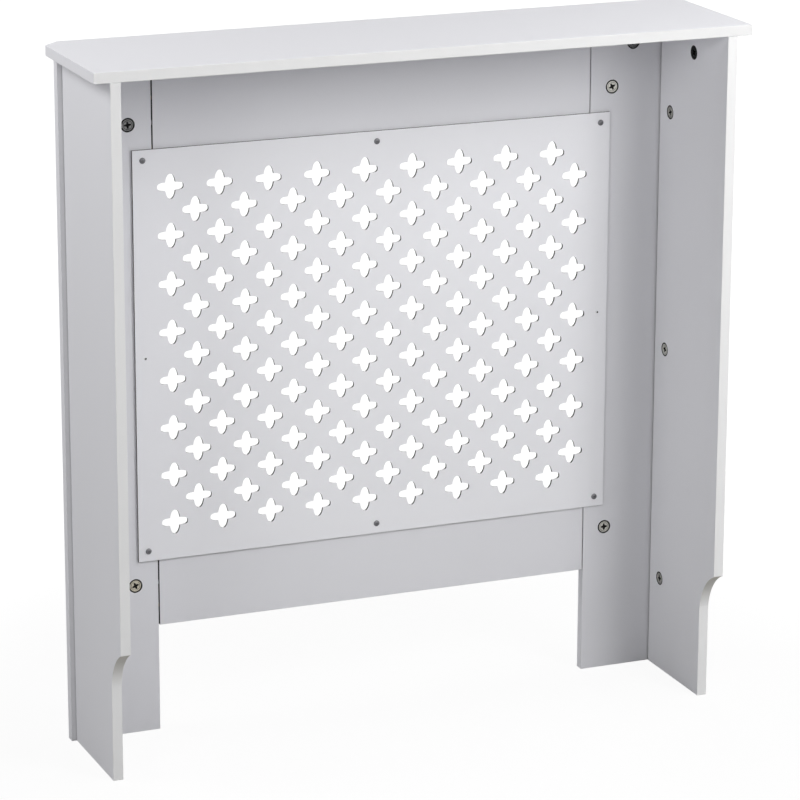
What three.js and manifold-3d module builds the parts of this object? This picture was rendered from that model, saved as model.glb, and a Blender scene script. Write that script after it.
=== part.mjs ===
// Radiator cover cabinet: a flat-pack case of painted boards that stands over a radiator.
// Units are millimetres. X runs along the cover, the room side faces -Y, the wall is at +Y
// and Z is up. The origin is on the floor, under the middle of the overall box.
import * as THREE from "three";
import { mergeVertices } from "three/addons/utils/BufferGeometryUtils.js";
import Module from "manifold-3d";

const wasm = await Module();
wasm.setup();

// ---- Driving dimensions ----

// Overall size, which is the size of the shelf and its height from the floor
const coverWidth = 780;
const coverDepth = 190;
const coverHeight = 815;

// Boards
const boardThickness = 12;
const edgeEase = 0.8; // small chamfer round every painted board
const shelfEndOverhang = 12; // shelf past the stiles, at each end
const shelfFrontOverhang = 8; // shelf past the front of the stiles
const cornerClip = 18; // clipped front corners of the shelf, along each edge
const stileWidth = 108;
const stileLedge = 6; // stile past the outer face of the side panel
const topRailHeight = 137;
const bottomRailHeight = 104;
const bottomRailClearance = 128; // from the floor to the bottom rail
const railEndGap = 0.3; // open seam at each end of a rail

// Skirting-board notch in the rear foot of each side panel
const notchDepth = 35;
const notchHeight = 160; // where the curve meets the rear edge
const notchRadius = 60;
const notchArcSteps = 8;

// Grille panel
const grilleThickness = 3;
const grilleOverlap = 24; // grille over the stiles and rails, on all four sides
const crossPitchAcross = 58.7; // between crosses of one row
const crossPitchUp = 56.3; // between crosses of one column
const uprightLength = 29; // the upright oval of a cross, tip to tip
const uprightWidth = 12.4;
const uprightFullness = 2.2; // 2 is an ellipse, more is blunter
const barLength = 31; // the lying oval that crosses it
const barWidth = 9.8;
const barFullness = 3.4;
const crossMargin = 40; // least distance from the panel edge to the middle of a cross
const crossArmFlats = 3; // along the outline of one arm
const spareHoleDiameter = 2.5; // empty screw holes half way up both edges

// Cam fittings
const camDiameter = 15;
const camBoreFloor = 1.5; // board left under the blind bore
const camSetback = 0.2; // disc below the face of the board
const camDriveLength = 8; // cross recess in the disc
const camDriveWidth = 1.7;
const camDriveDepth = 1.2;
const frameCamInset = 27.5; // from the joint to the middle of a cam in stile or side panel
const shelfCamInset = 33; // the same where the joint is under the shelf
const railCamFromOpening = 53; // from the edge of the frame opening to a rail's cam
const sideCamFromEnd = 114; // from the foot and the head of the side panel to its outer cams

// Cam bolts and dowels
const boltHeadDiameter = 6.4;
const boltHeadLength = 3.2;
const boltShankDiameter = 4.4;
const boltThreadDiameter = 5.8;
const boltThreadLength = 9.5;
const dowelDiameter = 6;
const dowelLength = 20;
const dowelShortEnd = 8.5; // part of a dowel in the stile's face or the rail's end
const dowelTip = 0.8; // chamfer at both ends of a dowel
const dowelFromCam = 28; // between the cam bolt and the dowels in a rail end

// Grille screws
const screwHeadDiameter = 7;
const screwHeadHeight = 1.7;
const screwHeadRim = 0.7; // upright rim of the domed head
const screwShankDiameter = 3;
const screwLength = 10.5; // under the head
const screwTip = 2;

// Fits
const fitClearance = 0.25; // round pins, bolts, screws and cams in their bores
const endClearance = 0.5; // past the end of a pin in a blind bore

const roundSides = 8; // facets of pins, screws and their bores
const camSides = 12; // facets of cams and their bores

// ---- Planes and sizes that follow ----

const shelfUnderside = coverHeight - boardThickness;
const wallPlane = coverDepth / 2;
const frameFront = -coverDepth / 2 + shelfFrontOverhang;
const frameBack = frameFront + boardThickness;
const frameMiddle = frameFront + boardThickness / 2;
const stileOuter = coverWidth / 2 - shelfEndOverhang;
const stileInner = stileOuter - stileWidth;
const sideOuter = stileOuter - stileLedge;
const sideInner = sideOuter - boardThickness;
const sideMiddle = sideOuter - boardThickness / 2;
const openingBottom = bottomRailClearance + bottomRailHeight;
const openingTop = shelfUnderside - topRailHeight;
const grilleHalfWidth = stileInner + grilleOverlap;
const grilleBottom = openingBottom - grilleOverlap;
const grilleTop = openingTop + grilleOverlap;
const grilleMiddle = (grilleBottom + grilleTop) / 2;
const screwLineX = stileInner + grilleOverlap / 2;
const screwLines = [grilleBottom + grilleOverlap / 2, grilleTop - grilleOverlap / 2];

const camBoreDepth = boardThickness - camBoreFloor;
const camRadius = camDiameter / 2;
const boltHoleDiameter = boltHeadDiameter + 2 * fitClearance;

const axisX = new THREE.Vector3(1, 0, 0);
const axisY = new THREE.Vector3(0, 1, 0);
const axisZ = new THREE.Vector3(0, 0, 1);

// ---- Materials ----

const paint = new THREE.MeshStandardMaterial({ color: 0xdfdfe4, roughness: 0.55 });
const grillePaint = new THREE.MeshStandardMaterial({ color: 0xe6e6ea, roughness: 0.5 });
const zinc = new THREE.MeshStandardMaterial({ color: 0x8b8883, roughness: 0.35, metalness: 0.9 });
const steel = new THREE.MeshStandardMaterial({ color: 0x9a9da1, roughness: 0.3, metalness: 1 });
const beech = new THREE.MeshStandardMaterial({ color: 0xcfa878, roughness: 0.7 });

// ---- Solids: joining and cutting ----

function solidOf(geometry) {
  const bare = geometry.clone();
  bare.deleteAttribute("normal");
  bare.deleteAttribute("uv");
  const merged = mergeVertices(bare, 1e-4);
  return new wasm.Manifold(
    new wasm.Mesh({
      numProp: 3,
      vertProperties: new Float32Array(merged.attributes.position.array),
      triVerts: new Uint32Array(merged.index.array),
    }),
  );
}

function geometryOf(solid) {
  const mesh = solid.getMesh();
  const geometry = new THREE.BufferGeometry();
  geometry.setAttribute("position", new THREE.BufferAttribute(mesh.vertProperties, 3));
  geometry.setIndex(new THREE.BufferAttribute(mesh.triVerts, 1));
  const flat = geometry.toNonIndexed();
  flat.computeVertexNormals();
  return flat;
}

function cutAll(geometry, tools) {
  let solid = solidOf(geometry);
  for (const tool of tools) solid = solid.subtract(solidOf(tool));
  return geometryOf(solid);
}

// A round bar that starts at a point and runs along a direction.
function bar(from, along, diameter, length, sides = roundSides) {
  const radius = diameter / 2;
  const geometry = new THREE.CylinderGeometry(radius, radius, length, sides);
  geometry.translate(0, length / 2, 0);
  geometry.applyQuaternion(new THREE.Quaternion().setFromUnitVectors(axisY, along));
  geometry.translate(from.x, from.y, from.z);
  return geometry;
}

// A bore: a bar whose flats clear a round piece, opened a little past the face it starts from.
function bore(from, along, diameter, depth, sides = roundSides) {
  const overcut = 1;
  const start = from.clone().addScaledVector(along, -overcut);
  return bar(start, along, diameter / Math.cos(Math.PI / sides), depth + overcut, sides);
}

// ---- Boards ----

// An outline raised to a slab, with its long edges eased on both faces.
function easedSlab(outline, thickness) {
  const geometry = new THREE.ExtrudeGeometry(outline, {
    depth: thickness - 2 * edgeEase,
    bevelEnabled: true,
    bevelThickness: edgeEase,
    bevelSize: edgeEase,
    bevelOffset: -edgeEase,
    bevelSegments: 1,
    curveSegments: notchArcSteps,
  });
  return geometry.translate(0, 0, edgeEase);
}

// Turns a slab so that its outline's two axes lie along the given directions.
function turned(geometry, across, up) {
  const through = new THREE.Vector3().crossVectors(across, up);
  return geometry.applyMatrix4(new THREE.Matrix4().makeBasis(across, up, through));
}

function rectangle(left, bottom, width, height) {
  return new THREE.Shape([
    new THREE.Vector2(left, bottom),
    new THREE.Vector2(left + width, bottom),
    new THREE.Vector2(left + width, bottom + height),
    new THREE.Vector2(left, bottom + height),
  ]);
}

function shelfOutline() {
  const halfWidth = coverWidth / 2;
  const halfDepth = coverDepth / 2;
  return new THREE.Shape([
    new THREE.Vector2(-halfWidth, halfDepth),
    new THREE.Vector2(-halfWidth, -halfDepth + cornerClip),
    new THREE.Vector2(-halfWidth + cornerClip, -halfDepth),
    new THREE.Vector2(halfWidth - cornerClip, -halfDepth),
    new THREE.Vector2(halfWidth, -halfDepth + cornerClip),
    new THREE.Vector2(halfWidth, halfDepth),
  ]);
}

// The side panel from its joint with the stile back to the wall, notched over the skirting board:
// straight up from the floor, then a concave arc that runs out through the rear edge.
function sideOutline() {
  const depth = wallPlane - frameBack;
  const arcRise = Math.sqrt(notchRadius ** 2 - (notchRadius - notchDepth) ** 2);
  const arcTurn = Math.acos((notchRadius - notchDepth) / notchRadius);
  const outline = new THREE.Shape();
  outline.moveTo(0, 0);
  outline.lineTo(depth - notchDepth, 0);
  outline.absarc(
    depth - notchDepth + notchRadius,
    notchHeight - arcRise,
    notchRadius,
    Math.PI,
    Math.PI - arcTurn,
    true,
  );
  outline.lineTo(depth, shelfUnderside);
  outline.lineTo(0, shelfUnderside);
  return outline;
}

function frontBoard(left, bottom, width, height) {
  const geometry = turned(easedSlab(rectangle(0, 0, width, height), boardThickness), axisX, axisZ);
  return { geometry, at: new THREE.Vector3(left, frameBack, bottom), material: paint };
}

function sideBoard(innerFace) {
  const geometry = turned(easedSlab(sideOutline(), boardThickness), axisY, axisZ);
  return { geometry, at: new THREE.Vector3(innerFace, frameBack, 0), material: paint };
}

function railBoard(bottom, height) {
  const length = 2 * (stileInner - railEndGap);
  return frontBoard(-length / 2, bottom, length, height);
}

const boards = {
  top_shelf: {
    geometry: easedSlab(shelfOutline(), boardThickness),
    at: new THREE.Vector3(0, 0, shelfUnderside),
    material: paint,
  },
  side_panel_left: sideBoard(-sideOuter),
  side_panel_right: sideBoard(sideInner),
  stile_left: frontBoard(-stileOuter, 0, stileWidth, shelfUnderside),
  stile_right: frontBoard(stileInner, 0, stileWidth, shelfUnderside),
  top_rail: railBoard(openingTop, topRailHeight),
  bottom_rail: railBoard(bottomRailClearance, bottomRailHeight),
};

// ---- Grille panel ----

// How far an oval reaches from its middle, at an angle from its long axis.
function ovalReach(length, width, fullness, angle) {
  const along = Math.abs(Math.cos(angle)) / (length / 2);
  const across = Math.abs(Math.sin(angle)) / (width / 2);
  return (along ** fullness + across ** fullness) ** (-1 / fullness);
}

function barReach(angle) {
  return ovalReach(barLength, barWidth, barFullness, angle);
}

function uprightReach(angle) {
  return ovalReach(uprightLength, uprightWidth, uprightFullness, Math.PI / 2 - angle);
}

// The angle from the bar's long axis at which the bar and the upright cross.
function crossingAngle() {
  let low = 0;
  let high = Math.PI / 2;
  for (let halving = 0; halving < 40; halving += 1) {
    const middle = (low + high) / 2;
    if (barReach(middle) > uprightReach(middle)) low = middle;
    else high = middle;
  }
  return low;
}

// Points round one arm, from its first crossing with the other oval up to the next. The flats in
// between are pushed out until the one at the tip gives the arm its full length.
function armPoints(reach, heading, halfTurn) {
  const turnStep = (2 * halfTurn) / crossArmFlats;
  const tipTurn = crossArmFlats % 2 ? turnStep / 2 : 0;
  const tipHeight = reach(heading + tipTurn) * Math.cos(tipTurn);
  const outside = reach(heading) / tipHeight;
  const points = [];
  for (let flat = 0; flat < crossArmFlats; flat += 1) {
    const angle = heading - halfTurn + flat * turnStep;
    const distance = reach(angle) * (flat ? outside : 1);
    points.push(new THREE.Vector2(distance * Math.cos(angle), distance * Math.sin(angle)));
  }
  return points;
}

// The outline of an upright and a lying oval that cross, as a closed ring of points.
function crossOutline() {
  const crossing = crossingAngle();
  const quarter = Math.PI / 2;
  return [
    ...armPoints(barReach, 0, crossing),
    ...armPoints(uprightReach, quarter, quarter - crossing),
    ...armPoints(barReach, 2 * quarter, crossing),
    ...armPoints(uprightReach, 3 * quarter, quarter - crossing),
  ];
}

function roundHole(centreX, centreY, diameter) {
  const radius = diameter / 2 / Math.cos(Math.PI / roundSides);
  const points = [];
  for (let side = 0; side < roundSides; side += 1) {
    const angle = (side * 2 * Math.PI) / roundSides;
    points.push(
      new THREE.Vector2(centreX + radius * Math.cos(angle), centreY + radius * Math.sin(angle)),
    );
  }
  return new THREE.Path(points);
}

// Crosses stand in columns half a pitch apart, and every other column is shifted half a pitch
// down, so the pattern is staggered. The whole pattern is centred on the panel.
function crossCentres(width, height) {
  const columnStep = crossPitchAcross / 2;
  const rowStep = crossPitchUp / 2;
  const lastColumn = Math.floor((width - 2 * crossMargin) / columnStep);
  const lastRow = Math.floor((height - 2 * crossMargin) / rowStep);
  const centres = [];
  for (let column = 0; column <= lastColumn; column += 1) {
    for (let row = column % 2; row <= lastRow; row += 2) {
      centres.push(
        new THREE.Vector2((lastColumn / 2 - column) * columnStep, (lastRow / 2 - row) * rowStep),
      );
    }
  }
  return centres;
}

function grilleGeometry() {
  const width = 2 * grilleHalfWidth;
  const height = grilleTop - grilleBottom;
  const outline = rectangle(-width / 2, -height / 2, width, height);
  const cross = crossOutline();
  for (const centre of crossCentres(width, height)) {
    outline.holes.push(new THREE.Path(cross.map((point) => point.clone().add(centre))));
  }
  for (const x of [-screwLineX, 0, screwLineX]) {
    for (const z of screwLines) {
      const diameter = screwShankDiameter + 2 * fitClearance;
      outline.holes.push(roundHole(x, z - grilleMiddle, diameter));
    }
  }
  for (const x of [-screwLineX, screwLineX]) outline.holes.push(roundHole(x, 0, spareHoleDiameter));
  const slab = new THREE.ExtrudeGeometry(outline, { depth: grilleThickness, bevelEnabled: false });
  return turned(slab, axisX, axisZ);
}

// ---- Fittings ----

// A cam joint: its bolt crosses the seam at a point half way through the cam's board, points into
// that board, and its cam is set in the face whose outward normal is given.
const camJoints = [];
const dowelJoints = [];
const screwPlaces = [];

for (const [side, sign] of [
  ["left", -1],
  ["right", 1],
]) {
  const outward = axisX.clone().multiplyScalar(sign);
  const inward = outward.clone().negate();
  const down = axisZ.clone().negate();
  const stile = `stile_${side}`;
  const panel = `side_panel_${side}`;

  for (const [rail, height] of [
    ["top_rail", openingTop + railCamFromOpening],
    ["bottom_rail", openingBottom - railCamFromOpening],
  ]) {
    const seam = new THREE.Vector3(sign * stileInner, frameMiddle, height);
    camJoints.push({
      name: `${rail}_${side}`,
      seam,
      into: outward,
      face: axisY,
      camBoard: stile,
      boltBoard: rail,
      inset: frameCamInset,
    });
    for (const [place, offset] of [
      ["lower", -dowelFromCam],
      ["upper", dowelFromCam],
    ]) {
      dowelJoints.push({
        name: `${rail}_${side}_${place}`,
        seam: seam.clone().addScaledVector(axisZ, offset),
        into: outward,
        longBoard: stile,
        shortBoard: rail,
      });
    }
  }

  const heights = [sideCamFromEnd, shelfUnderside / 2, shelfUnderside - sideCamFromEnd];
  ["lower", "middle", "upper"].forEach((place, index) => {
    camJoints.push({
      name: `side_${side}_${place}`,
      seam: new THREE.Vector3(sign * sideMiddle, frameBack, heights[index]),
      into: axisY,
      face: inward,
      camBoard: panel,
      boltBoard: stile,
      inset: frameCamInset,
    });
  });
  ["lower", "upper"].forEach((place, index) => {
    dowelJoints.push({
      name: `side_${side}_${place}`,
      seam: new THREE.Vector3(
        sign * sideMiddle,
        frameBack,
        (heights[index] + heights[index + 1]) / 2,
      ),
      into: axisY,
      longBoard: panel,
      shortBoard: stile,
    });
  });

  camJoints.push({
    name: `shelf_side_${side}`,
    seam: new THREE.Vector3(sign * sideMiddle, (frameBack + wallPlane) / 2, shelfUnderside),
    into: down,
    face: inward,
    camBoard: panel,
    boltBoard: "top_shelf",
    inset: shelfCamInset,
  });
  camJoints.push({
    name: `shelf_stile_${side}`,
    seam: new THREE.Vector3((sign * (stileInner + stileOuter)) / 2, frameMiddle, shelfUnderside),
    into: down,
    face: axisY,
    camBoard: stile,
    boltBoard: "top_shelf",
    inset: shelfCamInset,
  });
}

for (const [column, x, boardOf] of [
  ["left", -screwLineX, () => "stile_left"],
  ["middle", 0, (row) => `${row}_rail`],
  ["right", screwLineX, () => "stile_right"],
]) {
  ["bottom", "top"].forEach((row, index) => {
    screwPlaces.push({
      name: `grille_screw_${row}_${column}`,
      at: new THREE.Vector3(x, frameBack + grilleThickness, screwLines[index]),
      board: boardOf(row),
    });
  });
}

// Middle of a cam's visible face.
function camCentre(joint) {
  return joint.seam
    .clone()
    .addScaledVector(joint.into, joint.inset)
    .addScaledVector(joint.face, boardThickness / 2 - camSetback);
}

// The disc, with its cross recess on top and a slot from the rim that takes the bolt's head.
// Its face looks along +Z and its slot opens along +X.
function camGeometry() {
  const height = camBoreDepth - camSetback - endClearance;
  const disc = new THREE.CylinderGeometry(camRadius, camRadius, height, camSides);
  disc.rotateX(Math.PI / 2).translate(0, 0, -height / 2);

  const boltAxis = camSetback - boardThickness / 2;
  const slotRoof = boltAxis + boltHoleDiameter / 2;
  const slotEnd = -boltHeadLength / 2 - endClearance;
  const overcut = 1;
  const slotLength = camRadius + overcut - slotEnd;
  const slotHeight = slotRoof + height + overcut;
  const slot = new THREE.BoxGeometry(slotLength, boltHoleDiameter, slotHeight);
  slot.translate(slotEnd + slotLength / 2, 0, slotRoof - slotHeight / 2);

  const along = new THREE.BoxGeometry(camDriveLength, camDriveWidth, 2 * camDriveDepth);
  const across = new THREE.BoxGeometry(camDriveWidth, camDriveLength, 2 * camDriveDepth);
  return cutAll(disc, [slot, along, across]);
}

function lathed(profile, sides = roundSides) {
  const points = profile.map(([radius, height]) => new THREE.Vector2(radius, height));
  return geometryOf(solidOf(new THREE.LatheGeometry(points, sides)));
}

// Turned about Y, with the seam at 0: thread below it, shank and head above.
function boltGeometry(inset) {
  const thread = boltThreadDiameter / 2;
  const shank = boltShankDiameter / 2;
  const head = boltHeadDiameter / 2;
  return lathed([
    [0, -boltThreadLength],
    [thread, -boltThreadLength],
    [thread, 0],
    [shank, 0],
    [shank, inset - boltHeadLength / 2],
    [head, inset - boltHeadLength / 2],
    [head, inset + boltHeadLength / 2],
    [0, inset + boltHeadLength / 2],
  ]);
}

function dowelGeometry() {
  const radius = dowelDiameter / 2;
  const end = dowelLength - dowelShortEnd;
  return lathed([
    [0, -dowelShortEnd],
    [radius - dowelTip, -dowelShortEnd],
    [radius, -dowelShortEnd + dowelTip],
    [radius, end - dowelTip],
    [radius - dowelTip, end],
    [0, end],
  ]);
}

function screwGeometry() {
  const shank = screwShankDiameter / 2;
  const head = screwHeadDiameter / 2;
  return lathed([
    [0, -screwLength],
    [shank, -screwLength + screwTip],
    [shank, 0],
    [head, 0],
    [head, screwHeadRim],
    [0, screwHeadHeight],
  ]);
}

// ---- Bores ----

const bores = Object.fromEntries(Object.keys(boards).map((name) => [name, []]));

for (const { seam, into, face, camBoard, boltBoard, inset } of camJoints) {
  const mouth = seam
    .clone()
    .addScaledVector(into, inset)
    .addScaledVector(face, boardThickness / 2);
  const camHole = camDiameter + 2 * fitClearance;
  const threadHole = boltThreadDiameter + 2 * fitClearance;
  const back = into.clone().negate();
  bores[camBoard].push(bore(mouth, face.clone().negate(), camHole, camBoreDepth, camSides));
  bores[camBoard].push(bore(seam, into, boltHoleDiameter, inset));
  bores[boltBoard].push(bore(seam, back, threadHole, boltThreadLength + endClearance));
}

for (const { seam, into, longBoard, shortBoard } of dowelJoints) {
  const hole = dowelDiameter + 2 * fitClearance;
  const longDepth = dowelLength - dowelShortEnd + endClearance;
  bores[longBoard].push(bore(seam, into, hole, longDepth));
  bores[shortBoard].push(bore(seam, into.clone().negate(), hole, dowelShortEnd + endClearance));
}

for (const { at, board } of screwPlaces) {
  const mouth = at.clone().addScaledVector(axisY, -grilleThickness);
  const depth = screwLength - grilleThickness + endClearance;
  const hole = screwShankDiameter + 2 * fitClearance;
  bores[board].push(bore(mouth, axisY.clone().negate(), hole, depth));
}

// ---- Assembly ----

function named(name, geometry, material) {
  const mesh = new THREE.Mesh(geometry, material);
  mesh.name = name;
  return mesh;
}

function boardMesh(name) {
  const { geometry, at, material } = boards[name];
  const placed = geometry.clone().translate(at.x, at.y, at.z);
  const cut = cutAll(placed, bores[name]).translate(-at.x, -at.y, -at.z);
  const mesh = named(name, cut, material);
  mesh.position.copy(at);
  return mesh;
}

function group(name, meshes) {
  const made = new THREE.Group();
  made.name = name;
  made.add(...meshes);
  return made;
}

function camMesh(joint) {
  const mesh = named(`cam_${joint.name}`, camGeometry(), zinc);
  const slotWay = joint.into.clone().negate();
  const sideWay = new THREE.Vector3().crossVectors(joint.face, slotWay);
  const turn = new THREE.Matrix4().makeBasis(slotWay, sideWay, joint.face);
  mesh.quaternion.setFromRotationMatrix(turn);
  mesh.position.copy(camCentre(joint));
  return mesh;
}

function pinMesh(name, geometry, material, at, along) {
  const mesh = named(name, geometry, material);
  mesh.quaternion.setFromUnitVectors(axisY, along);
  mesh.position.copy(at);
  return mesh;
}

const grillePanel = named("grille_panel", grilleGeometry(), grillePaint);
grillePanel.position.set(0, frameBack + grilleThickness, grilleMiddle);

const cover = new THREE.Group();
cover.name = "radiator_cover";
cover.add(group("case", ["top_shelf", "side_panel_left", "side_panel_right"].map(boardMesh)));
cover.add(
  group("front_frame", ["stile_left", "stile_right", "top_rail", "bottom_rail"].map(boardMesh)),
);
cover.add(
  group("grille", [
    grillePanel,
    ...screwPlaces.map(({ name, at }) => pinMesh(name, screwGeometry(), steel, at, axisY)),
  ]),
);
cover.add(group("cams", camJoints.map(camMesh)));
cover.add(
  group(
    "cam_bolts",
    camJoints.map(({ name, seam, into, inset }) =>
      pinMesh(`bolt_${name}`, boltGeometry(inset), steel, seam, into),
    ),
  ),
);
cover.add(
  group(
    "dowels",
    dowelJoints.map(({ name, seam, into }) =>
      pinMesh(`dowel_${name}`, dowelGeometry(), beech, seam, into),
    ),
  ),
);

export default cover;
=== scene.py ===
import math

import bmesh
import bpy
from mathutils import Matrix, Vector


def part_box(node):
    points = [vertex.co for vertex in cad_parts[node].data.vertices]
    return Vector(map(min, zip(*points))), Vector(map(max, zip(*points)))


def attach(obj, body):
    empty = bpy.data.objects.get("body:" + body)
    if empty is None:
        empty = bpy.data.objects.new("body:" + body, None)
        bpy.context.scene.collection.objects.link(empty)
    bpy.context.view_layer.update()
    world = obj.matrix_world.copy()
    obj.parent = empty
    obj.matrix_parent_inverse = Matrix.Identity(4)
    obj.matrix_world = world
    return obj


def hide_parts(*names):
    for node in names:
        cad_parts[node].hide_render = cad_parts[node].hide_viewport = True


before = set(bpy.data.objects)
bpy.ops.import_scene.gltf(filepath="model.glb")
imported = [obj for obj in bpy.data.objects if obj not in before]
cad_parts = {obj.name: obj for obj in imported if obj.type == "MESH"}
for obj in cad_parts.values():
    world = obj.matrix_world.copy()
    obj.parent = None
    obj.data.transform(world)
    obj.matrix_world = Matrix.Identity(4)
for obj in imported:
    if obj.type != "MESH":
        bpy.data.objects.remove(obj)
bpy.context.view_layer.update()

mm = 0.001
overcut = 1.0 * mm  # how far a cutter stands past the face that it cuts
quarterTurn = math.pi / 2
axisX = Vector((1, 0, 0))
axisY = Vector((0, 1, 0))
axisZ = Vector((0, 0, 1))
cadNodes = [o.name for o in bpy.data.objects if o.type == "MESH"]


# Scene and node helpers

def addObject(name, data):
    thing = bpy.data.objects.new(name, data)
    bpy.context.scene.collection.objects.link(thing)
    return thing


def direction(azimuth, elevation):
    turn = math.radians(azimuth)
    rise = math.radians(elevation)
    return Vector((
        math.sin(turn) * math.cos(rise),
        -math.cos(turn) * math.cos(rise),
        math.sin(rise),
    ))


def newNode(tree, kind, place, **values):
    node = tree.nodes.new(kind)
    node.location = place
    for key, value in values.items():
        setattr(node, key, value)
    return node


def rangeNode(tree, place, fromRange, toRange, **values):
    node = newNode(tree, "ShaderNodeMapRange", place, **values)
    node.inputs["From Min"].default_value = fromRange[0]
    node.inputs["From Max"].default_value = fromRange[1]
    node.inputs["To Min"].default_value = toRange[0]
    node.inputs["To Max"].default_value = toRange[1]
    return node


# Camera, lights and floor

cameraSettings = {
    "lens": 169.3,
    "sensorWidth": 36,
    "seesTo": 200,
    "distance": 4.3097,
    "azimuth": 157.582,
    "elevation": 16.036,
    "roll": 0.175,
    "target": (0.0003, 0.0, 0.3899),
}

lightSettings = {
    "ambient": 0.1,
    "background": 1.0,
    "aimHeight": 0.4,
    "lamps": {
        # azimuth and elevation in degrees, then distance and width in metres, and watts
        "roomSide": (75, 40, 2.0, 0.8, 12.1),
        "leftFill": (125, 15, 3.4, 1.2, 16.6),
        "leftNear": (150, 30, 2.0, 0.8, 5.3),
        "rightKey": (210, 25, 2.0, 0.8, 12.7),
        "rightFar": (210, 40, 3.4, 1.2, 18.2),
        "rightHigh": (235, 40, 1.6, 0.7, 4.3),
        "topRight": (262, 65, 3.4, 1.2, 24.0),
        "frontWash": (345, 0, 3.0, 0.7, 50.0),
    },
}

floorSettings = {
    "reach": 30.0,
    "paint": 0.42,
    "shadowShare": 0.16,  # how much of the object's shadow the camera sees close by
    "shadowNear": 0.45,
    "shadowFar": 1.1,
    "glowStrength": 1.1,
}


def placeCamera():
    s = cameraSettings
    away = direction(s["azimuth"], s["elevation"])
    data = bpy.data.cameras.new("photoCamera")
    data.lens = s["lens"]
    data.sensor_width = s["sensorWidth"]
    data.clip_end = s["seesTo"]
    camera = addObject("photoCamera", data)
    camera.location = Vector(s["target"]) + away * s["distance"]
    aim = (-away).to_track_quat("-Z", "Y").to_matrix().to_4x4()
    turn = Matrix.Rotation(math.radians(s["roll"]), 4, "Z")
    camera.matrix_world = Matrix.Translation(camera.location) @ aim @ turn
    bpy.context.scene.camera = camera


def addLamps():
    target = Vector((0, 0, lightSettings["aimHeight"]))
    for name, (azimuth, elevation, distance, width, power) in lightSettings["lamps"].items():
        data = bpy.data.lights.new(name, "AREA")
        data.shape = "DISK"
        data.size = width
        data.energy = power
        away = direction(azimuth, elevation)
        lamp = addObject(name, data)
        lamp.location = target + away * distance
        lamp.rotation_euler = (-away).to_track_quat("-Z", "Y").to_euler()


def seenRays(tree, place):
    # 1 for camera, glossy and transmission rays, 0 for light that falls on the object
    path = newNode(tree, "ShaderNodeLightPath", place)
    first = newNode(tree, "ShaderNodeMath", (place[0] + 200, place[1]), operation="MAXIMUM")
    both = newNode(tree, "ShaderNodeMath", (place[0] + 380, place[1]), operation="MAXIMUM")
    tree.links.new(path.outputs["Is Camera Ray"], first.inputs[0])
    tree.links.new(path.outputs["Is Glossy Ray"], first.inputs[1])
    tree.links.new(first.outputs[0], both.inputs[0])
    tree.links.new(path.outputs["Is Transmission Ray"], both.inputs[1])
    return both.outputs[0]


def makeWorld():
    s = lightSettings
    world = bpy.data.worlds.new("whiteRoom")
    bpy.context.scene.world = world
    world.use_nodes = True
    tree = world.node_tree
    tree.nodes.clear()
    seen = seenRays(tree, (-700, 200))
    strength = rangeNode(tree, (-100, 200), (0, 1), (s["ambient"], s["background"]))
    background = newNode(tree, "ShaderNodeBackground", (100, 200))
    background.inputs["Color"].default_value = (1, 1, 1, 1)
    output = newNode(tree, "ShaderNodeOutputWorld", (300, 200))
    tree.links.new(seen, strength.inputs["Value"])
    tree.links.new(strength.outputs["Result"], background.inputs["Strength"])
    tree.links.new(background.outputs[0], output.inputs["Surface"])


def makeFloorPaper():
    # White to the camera away from the object, with part of the object's shadow near it
    s = floorSettings
    material = bpy.data.materials.new("floorPaper")
    material.use_nodes = True
    tree = material.node_tree
    link = tree.links.new
    tree.nodes.clear()
    seen = seenRays(tree, (-900, 200))
    surface = newNode(tree, "ShaderNodeNewGeometry", (-900, 500))
    away = newNode(tree, "ShaderNodeVectorMath", (-700, 500), operation="LENGTH")
    glowShare = rangeNode(
        tree,
        (-520, 500),
        (s["shadowNear"], s["shadowFar"]),
        (1 - s["shadowShare"], 1.0),
        interpolation_type="SMOOTHSTEP",
    )
    share = newNode(tree, "ShaderNodeMath", (-320, 200), operation="MULTIPLY")
    paper = newNode(tree, "ShaderNodeBsdfDiffuse", (-320, 0))
    paper.inputs["Color"].default_value = (s["paint"], s["paint"], s["paint"], 1)
    glow = newNode(tree, "ShaderNodeEmission", (-320, -160))
    glow.inputs["Strength"].default_value = s["glowStrength"]
    mix = newNode(tree, "ShaderNodeMixShader", (-60, 100))
    output = newNode(tree, "ShaderNodeOutputMaterial", (160, 100))
    link(surface.outputs["Position"], away.inputs[0])
    link(away.outputs["Value"], glowShare.inputs["Value"])
    link(seen, share.inputs[0])
    link(glowShare.outputs[0], share.inputs[1])
    link(share.outputs[0], mix.inputs[0])
    link(paper.outputs[0], mix.inputs[1])
    link(glow.outputs[0], mix.inputs[2])
    link(mix.outputs[0], output.inputs["Surface"])
    return material


def makeFloor():
    reach = floorSettings["reach"]
    mesh = bpy.data.meshes.new("studioFloor")
    corners = [(-reach, -reach, 0), (reach, -reach, 0), (reach, reach, 0), (-reach, reach, 0)]
    mesh.from_pydata(corners, [], [(0, 1, 2, 3)])
    mesh.materials.append(makeFloorPaper())
    floor = addObject("studioFloor", mesh)


placeCamera()
makeWorld()
makeFloor()
addLamps()
print("camera, lights and floor placed")


# Materials

mixFirst = 6  # a Mix node's colour sockets, told by their place
mixSecond = 7
mixResult = 2


def tintNode(tree, place, colour):
    # A colour that is multiplied by what is linked to its second socket
    tint = newNode(tree, "ShaderNodeMix", place, data_type="RGBA", blend_type="MULTIPLY")
    tint.inputs["Factor"].default_value = 1.0
    tint.inputs[mixFirst].default_value = (*colour, 1)
    return tint


def bumpNode(tree, place, strength, distance):
    bump = newNode(tree, "ShaderNodeBump", place)
    bump.inputs["Strength"].default_value = strength
    bump.inputs["Distance"].default_value = distance
    return bump


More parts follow.
